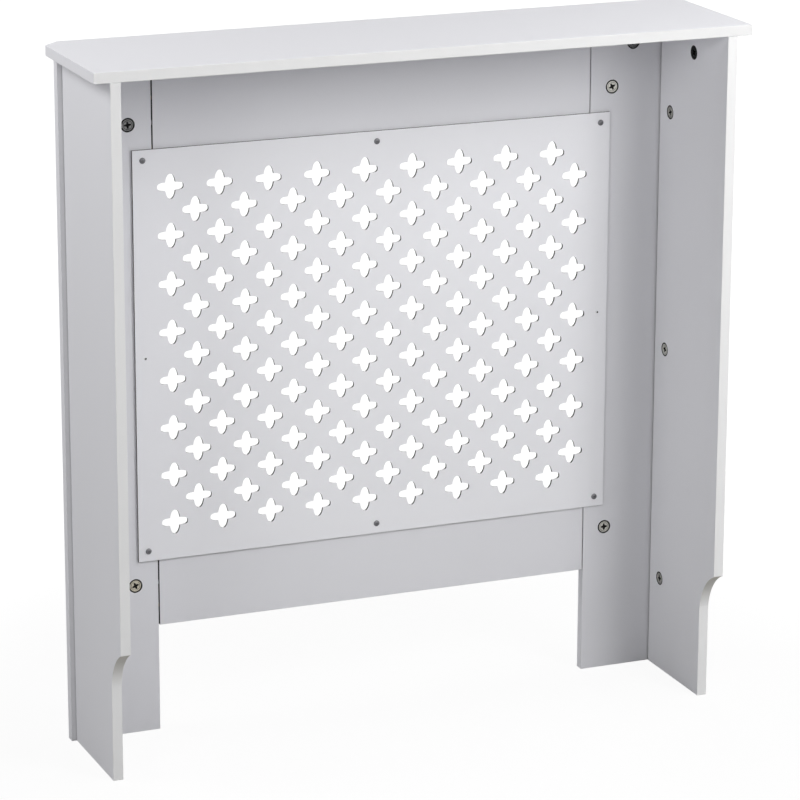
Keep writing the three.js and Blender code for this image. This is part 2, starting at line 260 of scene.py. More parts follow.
def noiseNode(tree, place, scale, detail):
    # Noise in the piece's own coordinates
    coordinates = newNode(tree, "ShaderNodeTexCoord", (place[0] - 200, place[1]))
    noise = newNode(tree, "ShaderNodeTexNoise", place)
    noise.inputs["Scale"].default_value = scale
    noise.inputs["Detail"].default_value = detail
    tree.links.new(coordinates.outputs["Object"], noise.inputs["Vector"])
    return noise


def facingUp(tree, place, fromLevel, toLevel):
    # 0 up to the first level of the normal's Z, 1 from the second one
    surface = newNode(tree, "ShaderNodeNewGeometry", (place[0] - 400, place[1]))
    apart = newNode(tree, "ShaderNodeSeparateXYZ", (place[0] - 200, place[1]))
    facing = rangeNode(tree, place, (fromLevel, toLevel), (0, 1))
    tree.links.new(surface.outputs["Normal"], apart.inputs[0])
    tree.links.new(apart.outputs["Z"], facing.inputs["Value"])
    return facing.outputs[0]


def newGroup(name, inputs, outputs):
    group = bpy.data.node_groups.new(name, "ShaderNodeTree")
    for label, kind, default in inputs:
        socket = group.interface.new_socket(name=label, in_out="INPUT", socket_type=kind)
        socket.default_value = default
    for label, kind in outputs:
        group.interface.new_socket(name=label, in_out="OUTPUT", socket_type=kind)
    source = newNode(group, "NodeGroupInput", (-900, 0))
    result = newNode(group, "NodeGroupOutput", (900, 0))
    return group, source, result


spraySettings = {
    "cloudSize": 9.0,
    "cloudDepth": 0.02,
    "cloudDetail": 3,
    "skinSize": 900.0,
    "skinDetail": 2,
    "skinHeight": 0.2 * mm,
    "specular": 0.3,
    "thinFrom": -0.85,  # normal Z where the painted shade under a board is darkest, and where it ends
    "thinTo": -0.15,
}


def makeSprayGroup():
    # Faint cloudiness and the fine pebbled skin of sprayed paint
    s = spraySettings
    group, source, result = newGroup(
        "sprayedSkin",
        [
            ("Cloud Size", "NodeSocketFloat", s["cloudSize"]),
            ("Cloud Depth", "NodeSocketFloat", s["cloudDepth"]),
            ("Skin Size", "NodeSocketFloat", s["skinSize"]),
        ],
        [("Shade", "NodeSocketFloat"), ("Gloss", "NodeSocketFloat"), ("Height", "NodeSocketFloat")],
    )
    link = group.links.new
    cloud = noiseNode(group, (-600, 300), s["cloudSize"], s["cloudDetail"])
    skin = noiseNode(group, (-600, 0), s["skinSize"], s["skinDetail"])
    centred = newNode(group, "ShaderNodeMath", (-400, 300), operation="SUBTRACT")
    centred.inputs[1].default_value = 0.5
    scaled = newNode(group, "ShaderNodeMath", (-200, 300), operation="MULTIPLY_ADD")
    scaled.inputs[2].default_value = 1.0
    link(source.outputs["Cloud Size"], cloud.inputs["Scale"])
    link(source.outputs["Skin Size"], skin.inputs["Scale"])
    link(cloud.outputs["Fac"], centred.inputs[0])
    link(centred.outputs[0], scaled.inputs[0])
    link(source.outputs["Cloud Depth"], scaled.inputs[1])
    link(scaled.outputs[0], result.inputs["Shade"])
    link(cloud.outputs["Fac"], result.inputs["Gloss"])
    link(skin.outputs["Fac"], result.inputs["Height"])
    return group


sprayGroup = makeSprayGroup()

paintSettings = {
    # fronts and outsides
    "coverPaint": {"colour": (0.812, 0.812, 0.846), "roughness": (0.68, 0.76), "bump": 0.06},
    # rear edges, and those of the left side panel, made lighter there as painted light
    "edgePaint": {"colour": (0.81, 0.81, 0.81), "roughness": (0.45, 0.55), "bump": 0.06},
    "brightEdgePaint": {"colour": (0.86, 0.86, 0.86), "roughness": (0.45, 0.55), "bump": 0.06},
    # arc of the skirting notch
    "hollowPaint": {
        "colour": (0.80, 0.80, 0.80),
        "under": (0.56, 0.54, 0.49),  # painted shade, where the board faces down
        "roughness": (0.6, 0.7),
        "bump": 0.1,
    },
    # insides of the side panels
    "linerPaint": {"colour": (0.83, 0.83, 0.856), "roughness": (0.65, 0.75), "bump": 0.08},
    # backs of the stiles and rails; then painted shade on the stile's strip outside a side panel,
    # darkest in its corner
    "backPaint": {"colour": (0.75, 0.75, 0.78), "roughness": (0.55, 0.65), "bump": 0.1},
    "stripPaint": {"colour": (0.655, 0.655, 0.675), "roughness": (0.55, 0.65), "bump": 0.1},
    "cornerPaint": {"colour": (0.54, 0.54, 0.555), "roughness": (0.6, 0.7), "bump": 0.1},
    "grillePaint": {"colour": (0.835, 0.835, 0.862), "roughness": (0.45, 0.55), "bump": 0.05},
}


def makePaint(name):
    s = paintSettings[name]
    material = bpy.data.materials.new(name)
    material.use_nodes = True
    tree = material.node_tree
    link = tree.links.new
    shader = tree.nodes["Principled BSDF"]
    shader.inputs["Specular IOR Level"].default_value = spraySettings["specular"]
    spray = newNode(tree, "ShaderNodeGroup", (-700, 200), node_tree=sprayGroup)
    colour = tintNode(tree, (-400, 300), s["colour"])
    gloss = rangeNode(tree, (-400, 50), (0, 1), s["roughness"])
    bump = bumpNode(tree, (-400, -200), s["bump"], spraySettings["skinHeight"])
    # painted shade: darker where the board faces down
    if "under" in s:
        shadedUnder = newNode(tree, "ShaderNodeMix", (-650, 450), data_type="RGBA")
        shadedUnder.inputs[mixFirst].default_value = (*s["under"], 1)
        shadedUnder.inputs[mixSecond].default_value = (*s["colour"], 1)
        up = facingUp(tree, (-900, 450), spraySettings["thinFrom"], spraySettings["thinTo"])
        link(up, shadedUnder.inputs["Factor"])
        link(shadedUnder.outputs[mixResult], colour.inputs[mixFirst])
    link(spray.outputs["Shade"], colour.inputs[mixSecond])
    link(spray.outputs["Gloss"], gloss.inputs["Value"])
    link(spray.outputs["Height"], bump.inputs["Height"])
    link(colour.outputs[mixResult], shader.inputs["Base Color"])
    link(gloss.outputs[0], shader.inputs["Roughness"])
    link(bump.outputs[0], shader.inputs["Normal"])
    return material


shadeAndGrimeSettings = {
    "rimFrom": 6.3 * mm,
    "rimTo": 6.8 * mm,
    "lowFrom": -0.03 * mm,
    "lowTo": -0.3 * mm,
    "darkest": 0.03,
}


def makeShadeAndGrimeGroup():
    # 1 on a fitting's open face, near 0 in its recesses and round its rim: painted shade there, with
    # some grime
    s = shadeAndGrimeSettings
    group, source, result = newGroup("fittingGrime", [], [("Clean", "NodeSocketFloat")])
    link = group.links.new
    place = newNode(group, "ShaderNodeTexCoord", (-900, 200))
    apart = newNode(group, "ShaderNodeSeparateXYZ", (-700, 200))
    flat = newNode(group, "ShaderNodeCombineXYZ", (-500, 300))
    reach = newNode(group, "ShaderNodeVectorMath", (-300, 300), operation="LENGTH")
    rim = rangeNode(group, (-100, 300), (s["rimFrom"], s["rimTo"]), (1.0, s["darkest"]))
    depth = rangeNode(group, (-100, 0), (s["lowTo"], s["lowFrom"]), (s["darkest"], 1.0))
    both = newNode(group, "ShaderNodeMath", (200, 200), operation="MULTIPLY")
    link(place.outputs["Object"], apart.inputs[0])
    link(apart.outputs["X"], flat.inputs["X"])
    link(apart.outputs["Y"], flat.inputs["Y"])
    link(flat.outputs[0], reach.inputs[0])
    link(reach.outputs["Value"], rim.inputs["Value"])
    link(apart.outputs["Z"], depth.inputs["Value"])
    link(rim.outputs[0], both.inputs[0])
    link(depth.outputs[0], both.inputs[1])
    link(both.outputs[0], result.inputs["Clean"])
    return group


shadeAndGrimeGroup = makeShadeAndGrimeGroup()

metalSettings = {
    # Besides camZinc, the cam metals are the same zinc with painted reflection (bright, warm) and
    # painted shade (dull, darkest), cam by cam
    "camBright": {"colour": (0.74, 0.73, 0.67), "cloud": 0.25, "roughness": 0.5, "grain": 500.0},
    "camZinc": {"colour": (0.60, 0.59, 0.54), "cloud": 0.4, "roughness": 0.45, "grain": 700.0},
    "camWarm": {"colour": (0.55, 0.51, 0.42), "cloud": 0.4, "roughness": 0.45, "grain": 600.0},
    "camDull": {"colour": (0.22, 0.22, 0.22), "cloud": 0.6, "roughness": 0.45, "grain": 400.0},
    "camDark": {"colour": (0.035, 0.035, 0.035), "cloud": 0.6, "roughness": 0.6, "grain": 400.0},
    "screwSteel": {"colour": (0.20, 0.20, 0.21), "cloud": 0.5, "roughness": 0.4, "grain": 900.0},
    "boltSteel": {"colour": (0.55, 0.55, 0.56), "cloud": 0.4, "roughness": 0.3, "grain": 800.0},
}

sharedMetalSettings = {
    "metallic": 0.85,
    "detail": 4,
    "cloudFrom": 0.3,
    "cloudTo": 0.7,
    "roughnessSpread": 0.08,
    "bump": 0.1,
    "bumpHeight": 0.1 * mm,
}


def makeMetal(name):
    # Cast or rolled metal; on a cam what lies below its face is darkened as painted shade, with some
    # grime
    s = metalSettings[name]
    cast = sharedMetalSettings
    material = bpy.data.materials.new(name)
    material.use_nodes = True
    tree = material.node_tree
    link = tree.links.new
    shader = tree.nodes["Principled BSDF"]
    shader.inputs["Metallic"].default_value = cast["metallic"]
    noise = noiseNode(tree, (-900, 0), s["grain"], cast["detail"])
    spread = rangeNode(
        tree, (-700, 200), (cast["cloudFrom"], cast["cloudTo"]), (1 - s["cloud"], 1.0)
    )
    colour = tintNode(tree, (-250, 200), s["colour"])
    least = s["roughness"] - cast["roughnessSpread"]
    most = s["roughness"] + cast["roughnessSpread"]
    rough = rangeNode(tree, (-400, -50), (0, 1), (least, most))
    bump = bumpNode(tree, (-400, -300), cast["bump"], cast["bumpHeight"])
    link(noise.outputs["Fac"], spread.inputs["Value"])
    shade = spread.outputs[0]
    if name.startswith("cam"):
        shadeAndGrime = newNode(tree, "ShaderNodeGroup", (-700, 450), node_tree=shadeAndGrimeGroup)
        both = newNode(tree, "ShaderNodeMath", (-450, 300), operation="MULTIPLY")
        link(shadeAndGrime.outputs["Clean"], both.inputs[0])
        link(shade, both.inputs[1])
        shade = both.outputs[0]
    link(shade, colour.inputs[mixSecond])
    link(noise.outputs["Fac"], rough.inputs["Value"])
    link(noise.outputs["Fac"], bump.inputs["Height"])
    link(colour.outputs[mixResult], shader.inputs["Base Color"])
    link(rough.outputs[0], shader.inputs["Roughness"])
    link(bump.outputs[0], shader.inputs["Normal"])
    return material


coreSettings = {
    "colours": {
        "grilleCore": (0.022, 0.02, 0.018),
        "grilleRim": (0.075, 0.068, 0.06),
        # the board core is near black as painted shade in seams and bore gaps
        "boardCore": (0.045, 0.042, 0.04),
    },
    # paint is the white of the painted light where a cut faces up
    "paint": (0.80, 0.80, 0.81),
    "paintFrom": 0.85,  # normal Z where the painted light begins, and where it is full
    "paintTo": 0.99,
    "fibre": 1400.0,
    "fibreDetail": 4,
    "shades": (0.6, 1.4),
    "roughness": 0.8,
    "bump": 0.3,
    "bumpHeight": 0.2 * mm,
}


def makeCore(name, catchesPaint=False):
    # Cut edge of a board: bare fibre, near black as painted shade in gaps, and on request with painted
    # light where the cut faces up
    s = coreSettings
    material = bpy.data.materials.new(name)
    material.use_nodes = True
    tree = material.node_tree
    link = tree.links.new
    shader = tree.nodes["Principled BSDF"]
    shader.inputs["Roughness"].default_value = s["roughness"]
    fibre = noiseNode(tree, (-900, 0), s["fibre"], s["fibreDetail"])
    shade = rangeNode(tree, (-700, 0), (0, 1), s["shades"])
    bare = tintNode(tree, (-500, 100), s["colours"][name])
    bump = bumpNode(tree, (-400, -300), s["bump"], s["bumpHeight"])
    link(fibre.outputs["Fac"], shade.inputs["Value"])
    link(shade.outputs[0], bare.inputs[mixSecond])
    link(fibre.outputs["Fac"], bump.inputs["Height"])
    link(bump.outputs[0], shader.inputs["Normal"])
    colour = bare.outputs[mixResult]
    # painted light: white where the cut faces up
    if catchesPaint:
        upLight = newNode(tree, "ShaderNodeMix", (-250, 200), data_type="RGBA")
        upLight.inputs[mixSecond].default_value = (*s["paint"], 1)
        up = facingUp(tree, (-700, 400), s["paintFrom"], s["paintTo"])
        link(up, upLight.inputs["Factor"])
        link(colour, upLight.inputs[mixFirst])
        colour = upLight.outputs[mixResult]
    link(colour, shader.inputs["Base Color"])
    return material


beechSettings = {
    "light": (0.42, 0.31, 0.21),
    "dark": (0.30, 0.21, 0.13),
    "grain": 60.0,
    "wander": 6,
    "detail": 3,
    "roughness": 0.65,
    "bump": 0.2,
    "bumpHeight": 0.2 * mm,
}


def makeBeech():
    s = beechSettings
    material = bpy.data.materials.new("dowelBeech")
    material.use_nodes = True
    tree = material.node_tree
    link = tree.links.new
    shader = tree.nodes["Principled BSDF"]
    shader.inputs["Roughness"].default_value = s["roughness"]
    place = newNode(tree, "ShaderNodeTexCoord", (-900, 0))
    grain = newNode(tree, "ShaderNodeTexWave", (-700, 0), bands_direction="Z")
    grain.inputs["Scale"].default_value = s["grain"]
    grain.inputs["Distortion"].default_value = s["wander"]
    grain.inputs["Detail"].default_value = s["detail"]
    colour = newNode(tree, "ShaderNodeMix", (-400, 200), data_type="RGBA")
    colour.inputs[mixFirst].default_value = (*s["light"], 1)
    colour.inputs[mixSecond].default_value = (*s["dark"], 1)
    bump = bumpNode(tree, (-400, -200), s["bump"], s["bumpHeight"])
    link(place.outputs["Object"], grain.inputs["Vector"])
    link(grain.outputs["Fac"], colour.inputs["Factor"])
    link(grain.outputs["Fac"], bump.inputs["Height"])
    link(colour.outputs[mixResult], shader.inputs["Base Color"])
    link(bump.outputs[0], shader.inputs["Normal"])
    return material


coverPaint = makePaint("coverPaint")
backPaint = makePaint("backPaint")
edgePaint = makePaint("edgePaint")
brightEdgePaint = makePaint("brightEdgePaint")
hollowPaint = makePaint("hollowPaint")
linerPaint = makePaint("linerPaint")
stripPaint = makePaint("stripPaint")
cornerPaint = makePaint("cornerPaint")
grillePaint = makePaint("grillePaint")
# painted light on the grille's hole walls that face up
grilleCore = makeCore("grilleCore", catchesPaint=True)
grilleRim = makeCore("grilleRim")
boardCore = makeCore("boardCore")
camMetals = {name: makeMetal(name) for name in metalSettings if name.startswith("cam")}
screwSteel = makeMetal("screwSteel")
boltSteel = makeMetal("boltSteel")
dowelBeech = makeBeech()
print("materials made")


# Mesh helpers

mergeDistance = 0.002 * mm  # points closer than this are one point
normalsWeight = 60  # above 50, large faces count for more


def pieceFromMesh(name, mesh, material, nodes):
    piece = addObject(name, mesh)
    mesh.materials.clear()
    mesh.materials.append(material)
    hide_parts(*nodes)
    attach(piece, "root")
    return piece


def meshFromBmesh(name, bm):
    bmesh.ops.recalc_face_normals(bm, faces=bm.faces)
    mesh = bpy.data.meshes.new(name)
    bm.to_mesh(mesh)
    bm.free()
    return mesh


def workInModifiers(piece):
    graph = bpy.context.evaluated_depsgraph_get()
    mesh = bpy.data.meshes.new_from_object(piece.evaluated_get(graph))
    mesh.name = piece.name
    piece.modifiers.clear()
    piece.data = mesh


def cutFrom(piece, cutters, material=None):
    # The cutters of one call must not overlap. The cut faces get the material.
    bm = bmesh.new()
    for cutter in cutters:
        bm.from_mesh(cutter)
    tool = addObject("cutter", meshFromBmesh("cutter", bm))
    tool.data.materials.append(material or piece.data.materials[0])
    cut = piece.modifiers.new("cut", "BOOLEAN")
    cut.material_mode = "TRANSFER"
    cut.operation = "DIFFERENCE"
    cut.solver = "EXACT"
    cut.object = tool
    workInModifiers(piece)
    bpy.data.objects.remove(tool)


def softShade(piece, sharpAngle):
    mesh = piece.data
    mesh.shade_smooth()
    mesh.set_sharp_from_angle(angle=math.radians(sharpAngle))
    weigh = piece.modifiers.new("weighedNormals", "WEIGHTED_NORMAL")
    weigh.keep_sharp = True
    weigh.weight = normalsWeight
    workInModifiers(piece)


def circlePoints(centre, radius, sides):
    points = []
    for side in range(sides):
        angle = 2 * math.pi * side / sides
        points.append((centre[0] + radius * math.cos(angle), centre[1] + radius * math.sin(angle)))
    return points


def lathe(profile, sides, place=Matrix.Identity(4)):
    # Rings of a (radius, height) profile turned about Z; radius 0 closes to one point
    bm = bmesh.new()
    rings = []
    for radius, height in profile:
        if radius == 0:
            rings.append([bm.verts.new((0, 0, height))])
        else:
            rings.append([bm.verts.new((x, y, height)) for x, y in circlePoints((0, 0), radius, sides)])
    for low, high in zip(rings, rings[1:]):
        for side in range(sides):
            after = (side + 1) % sides
            if len(low) == 1:
                bm.faces.new((low[0], high[side], high[after]))
            elif len(high) == 1:
                bm.faces.new((low[side], low[after], high[0]))
            else:
                bm.faces.new((low[side], low[after], high[after], high[side]))
    bm.transform(place)
    return meshFromBmesh("lathed", bm)


def prism(outline, bottomScale, bottom, top):
    # An outline raised between two heights, drawn in at its lower end
    bm = bmesh.new()
    low = [bm.verts.new((x * bottomScale, y * bottomScale, bottom)) for x, y in outline]
    high = [bm.verts.new((x, y, top)) for x, y in outline]
    bm.faces.new(list(reversed(low)))
    bm.faces.new(high)
    for index in range(len(outline)):
        after = (index + 1) % len(outline)
        bm.faces.new((low[index], low[after], high[after], high[index]))
    return meshFromBmesh("prism", bm)


def crossDrive(s, turn, face):
    # The recess for a cross driver: four tapering arms, drawn round a narrow waist
    points = []
    tipTurn = math.atan2(s["driveTip"], s["driveReach"])
    for arm in range(4):
        heading = turn + arm * quarterTurn
        for angle in (heading - tipTurn, heading + tipTurn):
            points.append((s["driveReach"] * math.cos(angle), s["driveReach"] * math.sin(angle)))
        corner = heading + quarterTurn / 2
        points.append((s["driveWaist"] * math.cos(corner), s["driveWaist"] * math.sin(corner)))
    return prism(points, s["driveTaper"], face - s["driveDepth"], face + s["driveAbove"])


def standAlong(start, along):
    # A frame at start whose Z runs along the given direction
    turn = along.to_track_quat("Z", "Y").to_matrix().to_4x4()
    return Matrix.Translation(start) @ turn


def longAxis(size):
    return max(range(3), key=lambda i: size[i])


def thinAxis(size):
    return min(range(3), key=lambda i: size[i])


def joinedWords(first, words):
    return first + "".join(word.capitalize() for word in words)


# Boards

boardSettings = {
    "ease": 0.6 * mm,
    "easeSteps": 3,
    "easedFrom": 40,  # degrees between two faces
    "sharpAngle": 35,
    "fit": 0.1 * mm,  # gap where two boards meet
    "panelRebate": (1.5 * mm, 1.9 * mm),
    "railSeams": (0.9 * mm, 1.2 * mm),
    "railLip": 3.0 * mm,
    "cornerWidth": 1.1 * mm,
    "shelfClip": 18 * mm,
    "notchDepth": 35 * mm,
    "notchHeight": 160 * mm,
    "notchRadius": 60 * mm,
    "notchSteps": 28,
    "boreGap": 0.25 * mm,
    "boreEndGap": 0.5 * mm,
    "camGap": 0.8 * mm,
    "camFloor": 1.5 * mm,
    "boreSides": 48,
}

# How well a face's normal has to match a direction
squareOn = 0.9
roundHollow = 0.8  # takes in the notch's arc
easedToo = 0.3  # takes in the eased edges


def slabPiece(name, node, outline, origin, across, up, thickness):
    # An outline in the plane of across and up, raised by thickness, with all its edges eased
    s = boardSettings
    bm = bmesh.new()
    face = bm.faces.new([bm.verts.new(origin + across * u + up * v) for u, v in outline])
    raised = bmesh.ops.extrude_face_region(bm, geom=[face])
    moved = [e for e in raised["geom"] if isinstance(e, bmesh.types.BMVert)]
    bmesh.ops.translate(bm, verts=moved, vec=across.cross(up) * thickness)
    bmesh.ops.recalc_face_normals(bm, faces=bm.faces)
    sharp = [e for e in bm.edges if e.calc_face_angle(0) > math.radians(s["easedFrom"])]
    bmesh.ops.bevel(
        bm,
        geom=sharp,
        offset=s["ease"],
        segments=s["easeSteps"],
        profile=0.5,
        affect="EDGES",
    )
    return pieceFromMesh(name, meshFromBmesh(name, bm), coverPaint, [node])


def touching(low, high, otherLow, otherHigh):
    return all(low[i] < otherHigh[i] and otherLow[i] < high[i] for i in range(3))


def boreForCam(low, high, boardLow, boardHigh):
    # A blind bore from the board's face that is nearer to the cam
    s = boardSettings
    size = high - low
    thin = thinAxis(size)
    nearHigh = boardHigh[thin] - high[thin] < low[thin] - boardLow[thin]
    out = Vector((0, 0, 0))
    out[thin] = 1 if nearHigh else -1
    start = (low + high) / 2
    start[thin] = boardHigh[thin] if nearHigh else boardLow[thin]
    depth = boardHigh[thin] - boardLow[thin] - s["camFloor"]
    radius = max(size) / 2 + s["camGap"]
    profile = [(0, -overcut), (radius, -overcut), (radius, depth), (0, depth)]
    return lathe(profile, s["boreSides"], standAlong(start, -out))


def boreForPin(low, high):
    # A bore round a bolt or dowel, a little wider and longer than it
    s = boardSettings
    size = high - low
    index = longAxis(size)
    along = Vector((0, 0, 0))
    along[index] = 1
    radius = min(size) / 2 + s["boreGap"]
    length = size[index] / 2 + s["boreEndGap"]
    profile = [(0, -length), (radius, -length), (radius, length), (0, length)]
    return lathe(profile, s["boreSides"] // 2, standAlong((low + high) / 2, along))


def boreBoard(piece, node):
    # Blind cam bores, and the bores of the bolts and dowels that cross this board's seams
    boardLow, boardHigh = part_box(node)
    camBores = []
    pinBores = []
    for other in cadNodes:
        kind = other.split("_")[0]
        if kind not in ("cam", "bolt", "dowel"):
            continue
        low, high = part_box(other)
        if not touching(low, high, boardLow, boardHigh):
            continue
        if kind == "cam":
            camBores.append(boreForCam(low, high, boardLow, boardHigh))
        else:
            pinBores.append(boreForPin(low, high))
    # bore walls: near-black core, painted shade in the gap round each cam
    for bores in (pinBores, camBores):
        if bores:
            cutFrom(piece, bores, boardCore)


def mergeSlivers(piece):
    # The cuts leave points a hair apart, where a bore runs out into another one
    bm = bmesh.new()
    bm.from_mesh(piece.data)
    bmesh.ops.remove_doubles(bm, verts=bm.verts, dist=mergeDistance)
    bmesh.ops.dissolve_degenerate(bm, dist=mergeDistance, edges=bm.edges)
    bm.to_mesh(piece.data)
    bm.free()


def finishBoard(piece, node):
    boreBoard(piece, node)
    mergeSlivers(piece)
    softShade(piece, boardSettings["sharpAngle"])


def coatFaces(piece, material, facing, least=squareOn):
    # Faces that look the given way, and have no other finish yet, get this one
    slots = piece.data.materials
    if material.name not in slots:
        slots.append(material)
    index = slots.find(material.name)
    for face in piece.data.polygons:
        if face.material_index == 0 and face.normal.dot(facing) > least:
            face.material_index = index


def rebate(piece, start, size):
    # Takes an upright bar away from the board and leaves its core bare, near black as painted shade in
    # the seam
    x, y, z = start
    outline = [(x, y), (x + size.x, y), (x + size.x, y + size.y), (x, y + size.y)]
    cutFrom(piece, [prism(outline, 1.0, z, z + size.z)], boardCore)


def shelfOutline(low, high):
    clip = boardSettings["shelfClip"]
    return [
        (low.x, high.y),
        (low.x, low.y + clip),
        (low.x + clip, low.y),
        (high.x - clip, low.y),
        (high.x, low.y + clip),
        (high.x, high.y),
    ]


def makeShelf():
    node = "top_shelf"
    low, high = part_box(node)
    outline = shelfOutline(low, high)
    origin = Vector((0, 0, low.z))
    shelf = slabPiece("topShelfBoard", node, outline, origin, axisX, axisY, high.z - low.z)
    finishBoard(shelf, node)
    coatFaces(shelf, edgePaint, axisY, easedToo)


def sideOutline(depth, height):
    # Straight up from the floor, then a hollow arc that runs out through the rear edge
    s = boardSettings
    radius = s["notchRadius"]
    front = s["fit"]
    straight = depth - s["notchDepth"]
    rise = math.sqrt(radius ** 2 - (radius - s["notchDepth"]) ** 2)
    turn = math.acos((radius - s["notchDepth"]) / radius)
    outline = [(front, 0), (straight, 0)]
    for step in range(s["notchSteps"] + 1):
        angle = math.pi - turn * step / s["notchSteps"]
        outline.append((
            straight + radius + radius * math.cos(angle),
            s["notchHeight"] - rise + radius * math.sin(angle),
        ))
    outline += [(depth, height), (front, height)]
    return outline


def makeSidePanel(side):
    node = "side_panel_" + side
    low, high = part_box(node)
    height = high.z - low.z
    outline = sideOutline(high.y - low.y, height)
    name = joinedWords("sidePanel", [side])
    panel = slabPiece(name, node, outline, low, axisY, axisZ, high.x - low.x)
    width, depth = boardSettings["panelRebate"]
    inner = high.x - width if side == "left" else low.x - overcut
    start = Vector((inner, low.y - overcut, low.z - overcut))
    rebate(panel, start, Vector((width + overcut, depth + overcut, height + 2 * overcut)))
    finishBoard(panel, node)
    # the rebate and the front edge: near-black core, painted shade in the seam with the stile
    coatFaces(panel, boardCore, -axisY)
    coatFaces(panel, hollowPaint, (axisY - axisZ).normalized(), roundHollow)
    # the left panel's rear edges use the lighter edge paint: painted light
    coatFaces(panel, edgePaint if side == "right" else brightEdgePaint, axisY, easedToo)
    coatFaces(panel, linerPaint, axisX if side == "left" else -axisX)


def frameSlab(name, node, low, high):
    width = high.x - low.x
    height = high.z - low.z
    outline = [(0, 0), (width, 0), (width, height), (0, height)]
    origin = Vector((low.x, high.y, low.z))
    return slabPiece(name, node, outline, origin, axisX, axisZ, high.y - low.y)


def splitAcross(piece, x):
    # An edge line round the board, so that each side of it can have its own finish
    bm = bmesh.new()
    bm.from_mesh(piece.data)
    everything = [*bm.verts, *bm.edges, *bm.faces]
    bmesh.ops.bisect_plane(bm, geom=everything, plane_co=(x, 0, 0), plane_no=axisX)
    bm.to_mesh(piece.data)
    bm.free()


def stripEdges(side):
    # Where the side panel's outside meets the stile's back, and where the corner's darkest painted
    # shade ends
    low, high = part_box("side_panel_" + side)
    outer = max(abs(low.x), abs(high.x))
    return outer, outer + boardSettings["cornerWidth"]


def paintStripShade(stile, side):
    # The stile's back past the side panel gets painted shade, darkest in the corner
    outer, cornerEnd = stripEdges(side)
    slots = stile.data.materials
    slots.append(cornerPaint)
    slots.append(stripPaint)
    for face in stile.data.polygons:
        reach = abs(face.center.x)
        if face.normal.y > squareOn and reach > outer:
            paint = cornerPaint if reach < cornerEnd else stripPaint
            face.material_index = slots.find(paint.name)


def makeStile(side):
    node = "stile_" + side
    low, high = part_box(node)
    stile = frameSlab(joinedWords("stile", [side]), node, low, high)
    for reach in stripEdges(side):
        splitAcross(stile, reach if side == "right" else -reach)
    finishBoard(stile, node)
    # painted shade on the stile's strip past the side panel
    paintStripShade(stile, side)
    coatFaces(stile, backPaint, axisY)


def rebateEnds(rail, low, high):
    # Each end fits the stile at the front and stands off behind its lip
    lip = boardSettings["railLip"]
    leftSeam, rightSeam = boardSettings["railSeams"]
    depth = high.y - low.y - lip + overcut
    height = high.z - low.z + 2 * overcut
    start = Vector((low.x - overcut, low.y + lip, low.z - overcut))
    rebate(rail, start, Vector((leftSeam + overcut, depth, height)))
    start.x = high.x - rightSeam
    rebate(rail, start, Vector((rightSeam + overcut, depth, height)))


def makeRail(place):
    node = place + "_rail"
    low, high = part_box(node)
    low.x += boardSettings["fit"]
    high.x -= boardSettings["fit"]
    rail = frameSlab(place + "Rail", node, low, high)
    rebateEnds(rail, low, high)
    finishBoard(rail, node)
    coatFaces(rail, backPaint, axisY)
    # the rail's ends: near-black core, painted shade in the seams
    coatFaces(rail, boardCore, axisX)
    coatFaces(rail, boardCore, -axisX)


makeShelf()
makeSidePanel("left")
makeSidePanel("right")
makeStile("left")
makeStile("right")
makeRail("top")
makeRail("bottom")
print("boards made")


# Grille panel

grilleSettings = {
    "uprightLength": 29 * mm,
    "uprightWidth": 12.4 * mm,
    "uprightFullness": 2.2,
    "barLength": 31 * mm,
    "barWidth": 9.8 * mm,
    "barFullness": 3.4,
    "pitchAcross": 58.7 * mm,
    "pitchUp": 56.3 * mm,
    "margin": 40 * mm,
    "armPoints": 14,
    "tipCrowding": 1.5,
    "edge": 0.2 * mm,
    "edgeSteps": 1,
    "screwHole": 3.5 * mm,
    "screwHoleSides": 24,
    "spareHole": 2.5 * mm,
    "spareHoleSides": 20,
    "rimBand": 1 * mm,
    "flatFrom": 0.7,  # least normal Y of the painted faces
    "sharpAngle": 50,
}


def ovalReach(length, width, fullness, angle):
    along = abs(math.cos(angle)) / (length / 2)
    across = abs(math.sin(angle)) / (width / 2)
    return (along ** fullness + across ** fullness) ** (-1 / fullness)


def barReach(angle):
    s = grilleSettings
    return ovalReach(s["barLength"], s["barWidth"], s["barFullness"], angle)


def uprightReach(angle):
    s = grilleSettings
    return ovalReach(s["uprightLength"], s["uprightWidth"], s["uprightFullness"], quarterTurn - angle)


def crossingAngle():
    # Where the two ovals cross, found by halving
    halvings = 40
    low = 0.0
    high = quarterTurn
    for halving in range(halvings):
        half = (low + high) / 2
        if barReach(half) > uprightReach(half):
            low = half
        else:
            high = half
    return low


def armPoints(reach, heading, halfTurn):
    # Points from one crossing of the ovals round an arm up to the next, closer near the tip
    s = grilleSettings
    points = []
    for step in range(s["armPoints"]):
        part = 2 * step / s["armPoints"] - 1
        angle = heading + halfTurn * math.copysign(abs(part) ** s["tipCrowding"], part)
        points.append((reach(angle) * math.cos(angle), reach(angle) * math.sin(angle)))
    return points


def crossOutline():
    crossing = crossingAngle()
    return (
        armPoints(barReach, 0, crossing)
        + armPoints(uprightReach, quarterTurn, quarterTurn - crossing)
        + armPoints(barReach, 2 * quarterTurn, crossing)
        + armPoints(uprightReach, 3 * quarterTurn, quarterTurn - crossing)
    )


def crossCentres(width, height):
    # Staggered rows, centred on the panel
    s = grilleSettings
    columnStep = s["pitchAcross"] / 2
    rowStep = s["pitchUp"] / 2
    lastColumn = math.floor((width - 2 * s["margin"]) / columnStep)
    lastRow = math.floor((height - 2 * s["margin"]) / rowStep)
    centres = []
    for column in range(lastColumn + 1):
        for row in range(column % 2, lastRow + 1, 2):
            centres.append((
                (lastColumn / 2 - column) * columnStep,
                (lastRow / 2 - row) * rowStep,
            ))
    return centres


